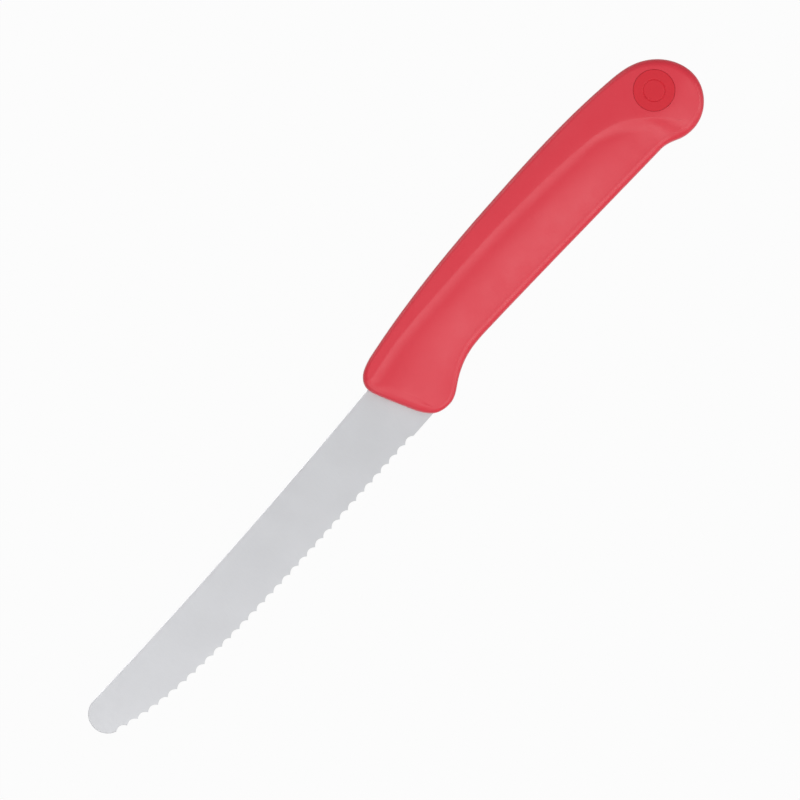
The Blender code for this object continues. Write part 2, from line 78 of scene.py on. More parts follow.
FRONT_TOP = 2.6 * MM
FRONT_OVERHANG = 0.55 * MM
NOSE_RISE = 3.75 * MM
SPINE_CROWN = 13.3 * MM
CROWN_PLACE = 53.0 * MM
GUARD_COVER = 1.55 * MM
BELLY_FRONT = 7.1 * MM
BELLY_REAR = 9.7 * MM
BUTT_DEPTH = 12.4 * MM
NOSE_RIM = 1.3 * MM
SPINE_RIM = 1.5 * MM
BELLY_RIM = 1.9 * MM
GUARD_RIM = 1.3 * MM
RIM_SHOULDER = 0.85
SHOULDER_LIMIT = 0.9
WALL_DRAFT = 0.02
SCOOP_FALL = 1.5 * MM
CREASE_START = 2.1 * MM
SCOOP_END_FROM_BUTT = 8.7 * MM
FAN_FROM_BUTT = 36.0 * MM
BAND_POWER = 2.5
BUTT_SLOPE = 0.13
BUTT_ROUND = 1.5 * MM
BUTT_FALL_SIDES = (0.3, 0.95)
BUTT_FALL_START = 22.0 * MM
BUTT_FALL_FULL = 12.0 * MM
GRIP_WALL = 2.0 * MM
INNER_RIM = 0.6 * MM
MEDALLION_DIAMETER = 10.35 * MM
MEDALLION_FROM_BUTT = 9.75 * MM
MEDALLION_HEIGHT = 1.25 * MM
RING_DIAMETER = 5.8 * MM
STUD_DIAMETER = 4.0 * MM
STUD_LENGTH = 3.0 * MM

# Sizes that differ a little from the solids', and finer detail than they have
FRONT_RIM = 2.1 * MM
BUTT_RIM = 2.1 * MM
COVE_FADE = 4.0 * MM
SCOOP_FADE = 9.0 * MM
COVE_LIMIT = 0.6
CREASE_ROUND = 0.08
LEAST_SQUARENESS = 0.5
SEAM_DEPTH = 0.04 * MM
SEAM_HALF_WIDTH = 0.12 * MM
BLADE_CHAMFER = 0.1 * MM
EDGE_POLISH = 0.02 * MM
JOINT = 0.04 * MM
WINDOW_GAP = 0.05 * MM
WINDOW_CHAMFER = 0.06 * MM
MEDALLION_RECESS = 0.03 * MM
MEDALLION_ROUND = 0.1 * MM
RING_WIDTH = 0.4 * MM
RING_DEPTH = 0.13 * MM
FLAT_MARGIN = 0.08 * MM

# The scoop's section at places in millimetres from the front: depth of its cove, width of the cove square to
# the crease, share of the floor's fall, share of the cove's width where that fall starts, and how straight it
# runs, from 0 for a curve to 1 for a plane
COVE_DEPTHS = ((0, 0.29), (50, 0.3), (60, 0.33), (72, 0.33), (76, 0.3), (80, 0.24), (84, 0.28), (88, 0.44),
               (91, 0.56), (94, 0.54), (96, 0.36), (97.5, 0.2), (99, 0.07), (100.5, 0.01), (102, 0))
COVE_WIDTHS = ((0, 3.0), (70, 3.0), (76, 2.9), (80, 2.6), (84, 2.4), (88, 3.0), (91, 3.5), (94, 3.8),
               (96, 4.2), (98, 4.5), (102, 4.5))
FALL_SHARES = ((0, 1.0), (15, 0.92), (30, 0.75), (40, 0.82), (50, 0.95), (58, 1.0), (70, 0.88), (85, 0.55),
               (90, 0.48), (94, 0.5), (96, 0.45), (97.5, 0.35), (99, 0.2), (102, 0.1))
FALL_STARTS = ((0, 1.0), (80, 1.0), (86, 0.85), (92, 0.5), (97, 0.1), (102, 0.0))
FALL_STRAIGHTS = ((0, 0.0), (88, 0.0), (95, 1.0), (102, 1.0))

# Fall of the spine band at its rim, at millimetres along the outline from the nose over the spine to the butt
BAND_FALLS = ((0, 0.0), (30, 0.0), (50, 0.12), (75, 0.36), (100, 0.36), (108, 0.08), (116, 0.0), (200, 0.0))

# How finely the pieces are drawn
CURVE_STEPS = 60
COVE_SPACING = 1.3
EDGE_SAMPLES = 1500
NOTCH_STEPS = 12
SPINE_STEPS = 60
TIP_STEPS = 40
TANG_STEPS = 24
RING_STEPS = 8
ROUND_STEPS = 6
ROUND_SEGMENTS = 128
NODE_DIGITS = 8
WELD_DISTANCE = 0.000001
CUT_MARGIN = 1.0 * MM
POCKET_LEAD = 3.0 * MM
BLADE_SHARP_ANGLE = 20.0
GRIP_SHARP_ANGLE = 35.0
MEDALLION_SHARP_ANGLE = 40.0

# Plastics: plain, pale and deep colour, roughness, specular level and depth of the grain for each, and the
# clouds, specks, patches of gloss, waves, and the painted highlight and smoothing on edges that they share
GRIP_PLASTIC = ((0.69, 0.028, 0.05), (0.72, 0.036, 0.06), (0.64, 0.023, 0.042), 0.38, 0.5, 0.005 * MM)
INLAY_PLASTIC = ((0.645, 0.0175, 0.0325), (0.665, 0.0215, 0.038), (0.585, 0.015, 0.028), 0.45, 0.3,
                 0.004 * MM)
CORE_PLASTIC = ((0.42, 0.03, 0.05), (0.46, 0.04, 0.06), (0.36, 0.024, 0.04), 0.5, 0.5, 0.008 * MM)
CLOUD_CELL = 14.0 * MM
SPECK_CELL = 0.9 * MM
GLOSS_CELL = 5.0 * MM
GLOSS_SPREAD = 0.035
GRAIN_CELL = 0.32 * MM
WAVE_CELL = 6.0 * MM
WAVE_DEPTH = 0.03 * MM
# Convex edges, found by pointiness: painted highlight that mixes them towards the pale colour, and lower
# roughness
EDGE_SHEEN_AND_SMOOTHING = (0.52, 0.6)
PAINTED_EDGE_SHEEN = 0.25
WORN_SMOOTHNESS = 0.05

# Steel: colours, roughness, and the clouds and grain in them, with the grain's stretch along y
STEEL_PLAIN = (0.63, 0.635, 0.655)
STEEL_PALE = (0.66, 0.665, 0.685)
STEEL_DEEP = (0.58, 0.585, 0.605)
STEEL_ROUGHNESS = 0.36
STEEL_CLOUD_CELL = 9.0 * MM
STEEL_CLOUD_SPREAD = 0.01
STEEL_GRAIN_CELL = 0.12 * MM
STEEL_GRAIN_STRETCH = 0.06
STEEL_GRAIN_SPREAD = 0.03
STEEL_GRAIN_DEPTH = 0.002 * MM
STEEL_FINE_CELL = 0.05 * MM
STEEL_FINE_DEPTH = 0.001 * MM

# Picture: its turn in degrees from the knife's length, centre and width on the knife, and lens
PICTURE_ANGLE = 48.6
PICTURE_CENTRE_X = 1.16 * MM
PICTURE_CENTRE_Y = -2.725 * MM
PICTURE_WIDTH = 198.4 * MM
LENS = 600.0
SENSOR = 36.0
CLIP_DISTANCES = 4.0

# Studio, in metres
FLOOR_SIZE = 6.0
FLOOR_GREY = 0.12
FLOOR_ROUGHNESS = 0.9
FLOOR_SHOWN_WHITE = 0.97
WORLD_LEVEL = 0.38
LAMP_DISTANCE = 1.2
LAMPS = (
    # Name, compass angle from the picture's right, height angle, side, brightness
    ("key", 337, 69, 0.34, 3.1),
    ("key_front", 300, 69, 0.34, 1.4),
    ("key_left", 247, 69, 0.34, 3.3),
    ("front", 315, 54, 0.42, 3.0),
    ("front_low", 320, 35, 0.5, 1.5),
    ("left", 245, 35, 0.5, 3.0),
    ("right", 0, 35, 0.5, 3.2),
    ("right_low", 352, 14, 0.5, 0.9),
    ("back", 135, 14, 0.5, 3.5),
    ("back_high", 135, 69, 0.34, 1.9),
)

SLANT = math.radians(FRONT_SLANT)
HOLE_PLACES = (TANG_HOLE_FIRST, TANG_HOLE_FIRST + TANG_HOLE_SPACING)
MEDALLION_PLACE = HANDLE_LENGTH - MEDALLION_FROM_BUTT

# Where the drawing's origin lies in the frame
grip_low, grip_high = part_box("handle_grip")
HALF_THICKNESS = (grip_high.z - grip_low.z) / 2
ORIGIN = Vector((grip_high.x - HANDLE_LENGTH, grip_high.y - SPINE_CROWN, grip_low.z + HALF_THICKNESS))


def arc(centre_x, centre_y, radius, start, end, steps):
    """Points on an arc between two angles in degrees, both ends included."""
    angles = np.radians(np.linspace(start, end, steps + 1))
    return [(centre_x + radius * math.cos(a), centre_y + radius * math.sin(a)) for a in angles]


def smooth_curve(knots, closed=False):
    """A curve without corners through knots (x, y, heading in degrees), close to an arc between each two."""
    pairs = list(zip(knots, knots[1:] + knots[:1] if closed else knots[1:]))
    points = []
    for (x0, y0, heading0), (x1, y1, heading1) in pairs:
        start = np.array((x0, y0))
        end = np.array((x1, y1))
        turn = (heading1 - heading0 + 180.0) % 360.0 - 180.0
        reach = np.linalg.norm(end - start) / (3.0 * math.cos(math.radians(turn) / 4.0) ** 2)
        first = start + reach * np.array((math.cos(math.radians(heading0)), math.sin(math.radians(heading0))))
        second = end - reach * np.array((math.cos(math.radians(heading1)), math.sin(math.radians(heading1))))
        for t in np.arange(CURVE_STEPS) / CURVE_STEPS:
            points.append((1 - t) ** 3 * start + 3 * (1 - t) ** 2 * t * first
                          + 3 * (1 - t) * t ** 2 * second + t ** 3 * end)
    if not closed:
        points.append(np.array(knots[-1][:2]))
    return np.array(points)


def lengths_along(points):
    """The distance from the first point to each point of a line."""
    return np.concatenate(([0.0], np.cumsum(np.linalg.norm(np.diff(points, axis=0), axis=1))))


def along(points, wanted):
    """Points of a line at the wanted distances from its start."""
    distances = lengths_along(points[:, :2])
    return np.column_stack([np.interp(wanted, distances, points[:, k]) for k in range(points.shape[1])])


def at_place(table, place):
    """The value of a table at a place, or at an array of places, in metres."""
    return np.interp(place / MM, *zip(*table))


def eased(value, low, high):
    """0 below a range, 1 above it, and a smooth rise between."""
    share = min(max((value - low) / (high - low), 0.0), 1.0)
    return share ** 2 * (3.0 - 2.0 * share)


def as_data(mesh, name):
    """Turns a working mesh into mesh data."""
    data = bpy.data.meshes.new(name)
    mesh.to_mesh(data)
    mesh.free()
    return data


# Handle

def handle_outline():
    """The handle's outline, clockwise from the low end of its front face: rows of x, y and rim width."""
    rear = HANDLE_LENGTH
    front_low = FRONT_TOP + HEEL_DEPTH - 4.05 * MM
    knots = [
        (FRONT_OVERHANG + front_low * math.tan(SLANT), FRONT_TOP - front_low, 90 + FRONT_SLANT, FRONT_RIM),
        (FRONT_OVERHANG, FRONT_TOP, 90 + FRONT_SLANT - 1.5, FRONT_RIM),
        (0.0, SPINE_HEIGHT, 88, FRONT_RIM),
        (2.75 * MM, SPINE_HEIGHT + NOSE_RISE, 25, NOSE_RIM),
        (9.65 * MM, SPINE_HEIGHT + NOSE_RISE + 1.55 * MM, 7.7, NOSE_RIM),
        (CROWN_PLACE, SPINE_CROWN, 0, SPINE_RIM),
        (rear - 17.5 * MM, SPINE_CROWN - 1.85 * MM, -7.5, SPINE_RIM),
        (rear - 7.5 * MM, SPINE_CROWN - 4.2 * MM, -27, BUTT_RIM),
        (rear - 1.8 * MM, 3.8 * MM, -59, BUTT_RIM),
        (rear, -2.4 * MM, -90, BUTT_RIM),
        (rear - 4.1 * MM, 2.0 * MM - BUTT_DEPTH, -143, BUTT_RIM),
        (rear - 10.0 * MM, -BUTT_DEPTH, -180, BUTT_RIM),
        (rear - 14.9 * MM, 1.2 * MM - BUTT_DEPTH, -209, BELLY_RIM),
        (rear - 19.4 * MM, -BELLY_REAR, -182.4, BELLY_RIM),
        (33.2 * MM, -BELLY_FRONT, -182, BELLY_RIM),
        (25.3 * MM, -BELLY_FRONT, -175, BELLY_RIM),
        (15.5 * MM, 0.15 * MM - HEEL_DEPTH, -148, GUARD_RIM),
        (11.0 * MM, -GUARD_COVER - HEEL_DEPTH, -180, GUARD_RIM),
        (7.0 * MM, -0.5 * MM - HEEL_DEPTH, -213, GUARD_RIM),
        (5.06 * MM, 1.65 * MM - HEEL_DEPTH, -238, FRONT_RIM),
    ]
    curve = smooth_curve([knot[:3] for knot in knots], closed=True)
    rims = [knot[3] for knot in knots] + [knots[0][3]]
    places = np.arange(len(curve)) / CURVE_STEPS
    return np.column_stack((curve, np.interp(places, np.arange(len(rims)), rims)))


def crease_knots(start):
    """The crease between the spine band and the scoop, from a start on the nose to its end in the butt."""
    rear = HANDLE_LENGTH
    return [
        (start[0], start[1], 5),
        (14.4 * MM, SPINE_HEIGHT + 2.7 * MM, 3),
        (26.0 * MM, SPINE_HEIGHT + 2.95 * MM, 0),
        (59.0 * MM, SPINE_HEIGHT + 2.25 * MM, -4),
        (rear - 35.1 * MM, SPINE_HEIGHT + 0.6 * MM, -8),
        (rear - 27.5 * MM, SPINE_HEIGHT - 0.65 * MM, -14.5),
        (rear - 20.0 * MM, 1.7 * MM, -34),
        (rear - 11.0 * MM, 4.0 * MM - BUTT_DEPTH, -59),
    ]


def nearest(points, x, y):
    """Index of the point nearest to a place."""
    return int(np.argmin(np.hypot(points[:, 0] - x, points[:, 1] - y)))


def cyclic_run(points, first, last):
    """The points of a closed line from one index on to another, both included."""
    if last < first:
        return np.vstack((points[first:], points[:last + 1]))
    return points[first:last + 1]


def front_face(y):
    """Where the handle's slanted front face, or its extension, crosses a height."""
    return FRONT_OVERHANG + (FRONT_TOP - y) * math.tan(SLANT)


def side_nodes(line, places, fan):
    """Nodes of a side line for the crease's: one for each place before the fan, then evenly spread ones."""
    rising = np.argmax(line[:, 0]) + 1
    lengths = lengths_along(line[:, :2])
    spread = (places - places[0]) / (places[-1] - places[0])
    mapped = line[0, 0] + (places[-1] - line[0, 0]) * spread
    begun = np.interp(mapped, line[:rising, 0], lengths[:rising])
    rest = np.linspace(begun[-1], lengths[-1], fan + 1)[1:]
    return along(line, np.concatenate((begun, rest)))


def butt_fall(x, y):
    """How much the butt falls away below the medallion."""
    across = x - HANDLE_LENGTH + MEDALLION_FROM_BUTT
    below = MEDALLION_HEIGHT - y
    distance = math.hypot(across, below)
    reach = max(0.0, distance - MEDALLION_DIAMETER / 2)
    if reach == 0.0:
        return 0.0
    side = eased(below / distance, *BUTT_FALL_SIDES)
    side *= eased(x, HANDLE_LENGTH - BUTT_FALL_START, HANDLE_LENGTH - BUTT_FALL_FULL)
    return BUTT_SLOPE * reach ** 2 / (reach + BUTT_ROUND) * side


def rim_climb(width, height, fine):
    """Depth and height of nodes up the rim: a seam at the middle plane, a steep wall, a round shoulder."""
    shoulder = min(RIM_SHOULDER * width, SHOULDER_LIMIT * height)
    wall = height - shoulder
    draft = WALL_DRAFT * wall
    climb = [(SEAM_DEPTH, 0.0), (0.0, SEAM_HALF_WIDTH)] if fine.seam else [(0.0, 0.0)]
    climb += [(draft / 2, wall / 2), (draft, wall)]
    for k in range(1, fine.rim + 1):
        angle = math.pi / 2 * k / fine.rim
        climb.append((draft + (width - draft) * (1.0 - math.cos(angle)), wall + shoulder * math.sin(angle)))
    return climb


def mirrored_mesh(name, *grids):
    """A closed mesh from grids of nodes above the middle plane, and their mirror images below it.

    Each grid comes with whether its faces turn the other way round.
    """
    mesh = bmesh.new()
    made = {}

    def vertex(x, y, z):
        key = (round(float(x), NODE_DIGITS), round(float(y), NODE_DIGITS), round(float(z), NODE_DIGITS))
        if key not in made:
            made[key] = mesh.verts.new(key)
        return made[key]

    for rows, flipped in grids:
        for side in (1, -1):
            for row, following in zip(rows, rows[1:]):
                for k in range(len(row) - 1):
                    corners = [vertex(x, y, z * side) for x, y, z in
                               (row[k], following[k], following[k + 1], row[k + 1])]
                    corners = list(dict.fromkeys(corners))
                    if len(corners) > 2:
                        mesh.faces.new(corners[::-1] if flipped == (side == 1) else corners)
    return as_data(mesh, name)


# How finely a handle body is drawn: distance between stations, steps across the scoop's cove, its floor, the
# band and the rim, and whether the rim has its seam
Fineness = namedtuple("Fineness", "station cove floor band rim seam")
SHOWN = Fineness(0.6 * MM, 8, 22, 9, 12, True)
HIDDEN = Fineness(3.0 * MM, 2, 5, 2, 3, False)


class Section:
    """The scoop's section at a station of the crease, from its place and the crease's length that is left."""

    def __init__(self, top, place, left):
        self.top = top
        self.cove_width = at_place(COVE_WIDTHS, place) * MM
        self.cove_depth = MM * eased(left, 0.0, COVE_FADE) * at_place(COVE_DEPTHS, place)
        self.fall = SCOOP_FALL * eased(left, 0.0, SCOOP_FADE) * at_place(FALL_SHARES, place)
        self.fall_start = at_place(FALL_STARTS, place)
        self.straight = at_place(FALL_STRAIGHTS, place)

    def height(self, share, foot):
        """Height of the surface at a share of the way to the belly; the cove ends at the foot's share."""
        into = (math.hypot(min(share / foot, 1.0), CREASE_ROUND) - CREASE_ROUND) / \
            (math.hypot(1.0, CREASE_ROUND) - CREASE_ROUND)
        cove = 1.0 - (1.0 - into) ** 2
        start = foot * self.fall_start
        beyond = max(0.0, (share - start) / (1.0 - start))
        fall = beyond * (self.straight + (1.0 - self.straight) * beyond * (2.0 - beyond))
        return self.top - self.cove_depth * cove - self.fall * fall


class HandleBody:
    """The handle's closed body, drawn inwards by an inset.

    Rows of nodes run from the crease to the spine, as the band, and from the crease to the belly, as the
    scoop. Round them the rim climbs a steep wall and a round shoulder. The lower half mirrors the upper one.
    """

    def __init__(self, inset, fine):
        self.inset = inset
        self.fine = fine
        self.top = HALF_THICKNESS - inset

    def inner(self, node):
        """Where the rim ends and the top surface starts, at a node of the outline."""
        return node[:2] + node[2:4] * (self.inset + node[4])

    def outline_lines(self):
        """The outline's top, belly and front lines: rows of x, y, inward direction and rim width."""
        outline = handle_outline()
        ahead = np.roll(outline[:, :2], -1, axis=0) - np.roll(outline[:, :2], 1, axis=0)
        ahead /= np.linalg.norm(ahead, axis=1)[:, None]
        rims = outline[:, 2] if self.inset == 0 else np.full(len(outline), INNER_RIM)
        closed = np.column_stack((outline[:, :2], ahead[:, 1], -ahead[:, 0], rims))
        corner_top = nearest(closed, CREASE_START / 2, SPINE_HEIGHT + CREASE_START)
        corner_guard = nearest(closed, front_face(-HEEL_DEPTH), -HEEL_DEPTH)
        corner_butt = nearest(closed, HANDLE_LENGTH - SCOOP_END_FROM_BUTT, -BUTT_DEPTH)
        return (cyclic_run(closed, corner_top, corner_butt),
                cyclic_run(closed, corner_butt, corner_guard)[::-1],
                cyclic_run(closed, corner_guard, corner_top)[::-1])

    def crease_nodes(self, start):
        """Nodes of the crease, the length left at each, the places before the fan, and the fan's count."""
        crease = smooth_curve(crease_knots(start))
        lengths = lengths_along(crease)
        fan_start = HANDLE_LENGTH - FAN_FROM_BUTT
        split = float(np.interp(fan_start, crease[:, 0], lengths))
        places = np.linspace(crease[0, 0], fan_start, math.ceil(split / self.fine.station) + 1)
        fan = math.ceil((lengths[-1] - split) / self.fine.station)
        nodes = np.vstack((along(crease, np.interp(places, crease[:, 0], lengths)),
                           along(crease, np.linspace(split, lengths[-1], fan + 1)[1:])))
        left = lengths[-1] - np.interp(nodes[:, 0], crease[:, 0], lengths)
        return nodes, left, places, fan

    def shares(self, length, cove_width):
        """Shares of a row's length at which its nodes lie, and the share at which its cove ends."""
        foot = min(cove_width / length, COVE_LIMIT)
        cove = [foot * (k / self.fine.cove) ** COVE_SPACING for k in range(self.fine.cove)]
        floor = [foot + (1.0 - foot) * k / self.fine.floor for k in range(self.fine.floor + 1)]
        return cove + floor, foot

    def scoop_rows(self, crease, left, belly_nodes, front_line):
        """Rows from the crease to the belly, the first along the front line, and that line's nodes."""
        ahead = np.gradient(crease, axis=0)
        ahead /= np.linalg.norm(ahead, axis=1)[:, None]
        square = np.column_stack((ahead[:, 1], -ahead[:, 0]))
        rows = []
        for index, start in enumerate(crease):
            section = Section(self.top, start[0], left[index])
            if index == 0:
                length = lengths_along(front_line[:, :2])[-1]
                parts, foot = self.shares(length, section.cove_width)
                front_nodes = along(front_line, np.array(parts) * length)
                flat = [self.inner(node) for node in front_nodes]
            else:
                end = self.inner(belly_nodes[index])
                length = np.linalg.norm(end - start)
                squareness = max(LEAST_SQUARENESS, float((end - start) @ square[index]) / length)
                parts, foot = self.shares(length, section.cove_width / squareness)
                flat = [start + (end - start) * part for part in parts]
            rows.append([(x, y, section.height(part, foot) - butt_fall(x, y))
                         for (x, y), part in zip(flat, parts)])
        return rows, front_nodes

    def band_rows(self, lower_edge, top_nodes):
        """Rows from the crease, and from the scoop's last row, to the spine and the butt."""
        falls = at_place(BAND_FALLS, lengths_along(top_nodes[:, :2])) * MM
        rows = []
        for low, node, fall in zip(lower_edge, top_nodes, falls):
            low = np.array(low)
            high = np.array((*self.inner(node), self.top))
            level = low[2] + butt_fall(low[0], low[1])
            row = [tuple(low)]
            for share in np.linspace(0.0, 1.0, self.fine.band + 1)[1:]:
                x, y, _ = low + (high - low) * share
                height = level + (self.top - level) * share - fall * share ** BAND_POWER
                row.append((x, y, height - butt_fall(x, y)))
            rows.append(row)
        return rows

    def rim_rows(self, ends):
        """Rows up the rim from the middle plane, from pairs of an outline node and the height above it."""
        rows = []
        for node, height in ends:
            climb = rim_climb(node[4], height, self.fine)
            rows.append([(*(node[:2] + node[2:4] * (self.inset + depth)), z) for depth, z in climb])
        return rows + rows[:1]

    def mesh(self, name):
        """The body's mesh."""
        top_line, belly_line, front_line = self.outline_lines()
        crease, left, places, fan = self.crease_nodes(self.inner(top_line[0]))
        top_nodes = side_nodes(top_line, places, fan + self.fine.cove + self.fine.floor)
        belly_nodes = side_nodes(belly_line, places, fan)
        scoop, front_nodes = self.scoop_rows(crease, left, belly_nodes, front_line)
        band = self.band_rows([row[0] for row in scoop] + scoop[-1][1:], top_nodes)
        ends = [(node, row[-1][2]) for node, row in zip(top_nodes, band)]
        ends += [(node, row[-1][2]) for node, row in zip(belly_nodes[::-1], scoop[::-1])][1:]
        ends += [(node, point[2]) for node, point in zip(front_nodes[::-1], scoop[0][::-1])][1:-1]
        return mirrored_mesh(name, (self.rim_rows(ends), True), (band, False), (scoop, True))


# Blade

def spine_line(x):
    """Height of the spine: level inside the handle, slightly hollow along the blade."""
    span = (BLADE_LENGTH - TIP_RADIUS) / 2
    if x > 0:
        return SPINE_HEIGHT
    return SPINE_HEIGHT - SPINE_HOLLOW * (1.0 - ((x + span) / span) ** 2)


def tip_centre():
    """Centre of the blade's round tip."""
    x = TIP_RADIUS - BLADE_LENGTH
    return x, spine_line(x) - TIP_RADIUS


def edge_nodes():
    """Nodes of the notched cutting edge from the tip to the plain heel, with the direction into the blade.

    From its straight part on, the edge rises as a parabola, and a sixth power bends its end up to the tip.
    """
    centre_x, centre_y = tip_centre()
    end = math.radians(TIP_EDGE_ANGLE)
    end_x = centre_x + TIP_RADIUS * math.cos(end)
    rise = centre_y + TIP_RADIUS * math.sin(end) + HEEL_DEPTH
    x = np.linspace(end_x, -PLAIN_HEEL, EDGE_SAMPLES)
    share = np.clip((-x - STRAIGHT_EDGE) / (-end_x - STRAIGHT_EDGE), 0.0, 1.0)
    line = np.column_stack((x, EDGE_RISE * share ** 2 + (rise - EDGE_RISE) * share ** 6 - HEEL_DEPTH))
    cusps = along(line, np.linspace(0.0, lengths_along(line)[-1], NOTCH_COUNT + 1))
    nodes = []
    for start, stop in zip(cusps, cusps[1:]):
        chord = stop - start
        inward = np.array((-chord[1], chord[0])) / np.linalg.norm(chord)
        for k in range(NOTCH_STEPS):
            part = k / NOTCH_STEPS
            bulge = NOTCH_DEPTH * 4.0 * part * (1.0 - part)
            nodes.append((start + chord * part + inward * bulge, inward))
    nodes.append((cusps[-1], nodes[-1][1]))
    return nodes


def root_outline(grow):
    """The blade's root and tang, from its heel round to its spine, drawn outwards by a clearance."""
    shift = (SEAT_DEPTH + grow) / math.cos(SLANT)
    low = TANG_MIDDLE - TANG_WIDTH / 2 - grow
    high = TANG_MIDDLE + TANG_WIDTH / 2 + grow
    corners = [(front_face(y) + shift, y) for y in (-HEEL_DEPTH - grow, low)]
    end_x = SEAT_DEPTH + TANG_LENGTH - TANG_WIDTH / 2
    corners += arc(end_x, TANG_MIDDLE, TANG_WIDTH / 2 + grow, -90, 90, TANG_STEPS)
    corners += [(front_face(y) + shift, y) for y in (high, SPINE_HEIGHT + grow)]
    return corners


def inward_normals(points):
    """Unit directions into an outline that runs anticlockwise, one at each point."""
    ahead = np.roll(points, -1, axis=0) - np.roll(points, 1, axis=0)
    ahead /= np.linalg.norm(ahead, axis=1)[:, None]
    return np.column_stack((-ahead[:, 1], ahead[:, 0]))


def blade_mesh(name):
    """The blade: a shown face, a chamfered spine and tip, and an edge ground in flutes from the far side."""
    centre_x, centre_y = tip_centre()
    spine = [(x, spine_line(x)) for x in np.linspace(0.0, centre_x, SPINE_STEPS + 1)[:-1]]
    tip = arc(centre_x, centre_y, TIP_RADIUS, 90, TIP_EDGE_ANGLE, TIP_STEPS)[:-1]
    plain = spine + tip
    edge = edge_nodes()
    points = np.array(plain + [tuple(place) for place, _ in edge] + root_outline(0.0))
    on_edge = np.zeros(len(points), bool)
    on_edge[len(plain):len(plain) + len(edge)] = True
    grind = np.zeros_like(points)
    grind[on_edge] = [direction for _, direction in edge]
    chamfer = inward_normals(points) * BLADE_CHAMFER
    chamfer[on_edge] = grind[on_edge] * EDGE_POLISH
    half = BLADE_THICKNESS / 2
    chamfer_depth = np.where(on_edge, EDGE_POLISH, BLADE_CHAMFER)
    far = np.where(on_edge[:, None], grind * GRIND_WIDTH, chamfer)
    layers = [
        (points + chamfer, np.full(len(points), half)),
        (points, half - chamfer_depth),
        (points, np.where(on_edge, half - EDGE_THICKNESS, BLADE_CHAMFER - half)),
        (points + far, np.full(len(points), -half)),
    ]
    mesh = bmesh.new()
    loops = [[mesh.verts.new((x, y, z)) for (x, y), z in zip(places, heights)] for places, heights in layers]
    mesh.faces.new(loops[0])
    mesh.faces.new(loops[-1][::-1])
    for upper, lower in zip(loops, loops[1:]):
        for k in range(len(points)):
            following = (k + 1) % len(points)
            mesh.faces.new((upper[following], upper[k], lower[k], lower[following]))
    return as_data(mesh, name)


# Objects

def put(name, data, look=None):
    """Adds a mesh or a curve that is drawn on the drawing axes."""
    made = bpy.data.objects.new(name, data)
    bpy.context.scene.collection.objects.link(made)
    made.location = ORIGIN
    if look is not None:
        data.materials.append(look)
    return made


def evaluated(thing):
    """New mesh data of an object as it looks with its modifiers, or of a curve as it is filled."""
    bpy.context.view_layer.update()
    return bpy.data.meshes.new_from_object(thing.evaluated_get(bpy.context.evaluated_depsgraph_get()))


def revolved(name, profile, x, y, z):
    """A solid of revolution about z from a profile (radius, height) that runs from its top to its bottom."""
    mesh = bmesh.new()
    line = [mesh.verts.new((radius, 0.0, height)) for radius, height in profile]
    edges = [mesh.edges.new(pair) for pair in zip(line, line[1:])]
    bmesh.ops.spin(mesh, geom=line + edges, cent=(0, 0, 0), axis=(0, 0, 1), angle=2 * math.pi,
                   steps=ROUND_SEGMENTS, use_merge=True)
    bmesh.ops.remove_doubles(mesh, verts=mesh.verts, dist=WELD_DISTANCE)
    bmesh.ops.recalc_face_normals(mesh, faces=mesh.faces)
    bmesh.ops.translate(mesh, verts=mesh.verts, vec=(x, y, z))
    return put(name, as_data(mesh, name))


def plate(name, outline, half_height):
    """A flat plate from its outline."""
    curve = bpy.data.curves.new(name, "CURVE")
    curve.dimensions = "2D"
    curve.fill_mode = "BOTH"
    curve.extrude = half_height
    spline = curve.splines.new("POLY")
    spline.points.add(len(outline) - 1)
    spline.use_cyclic_u = True
    for point, (x, y) in zip(spline.points, outline):
        point.co = (x, y, 0.0, 1.0)
    drawn = put(name, curve)
    data = evaluated(drawn)
    bpy.data.objects.remove(drawn, do_unlink=True)
    mesh = bmesh.new()
    mesh.from_mesh(data)
    bmesh.ops.remove_doubles(mesh, verts=mesh.verts, dist=WELD_DISTANCE)
    bmesh.ops.recalc_face_normals(mesh, faces=mesh.faces)
    mesh.to_mesh(data)
    mesh.free()
    return put(name, data)


def cut(thing, *cutters):
    """Cuts an object by others, which are then removed."""
    for cutter in cutters:
        step = thing.modifiers.new("cut", "BOOLEAN")
        step.operation = "DIFFERENCE"
        step.solver = "EXACT"
        step.object = cutter
    data = evaluated(thing)
    thing.modifiers.clear()
    thing.data = data
    for cutter in cutters:
        bpy.data.objects.remove(cutter, do_unlink=True)


def finish_surface(thing, sharp_angle):
    """Shades a piece smooth, with sharp edges where its faces turn by more than an angle in degrees."""
    thing.data.shade_smooth()
    thing.data.set_sharp_from_angle(angle=math.radians(sharp_angle))


# Materials

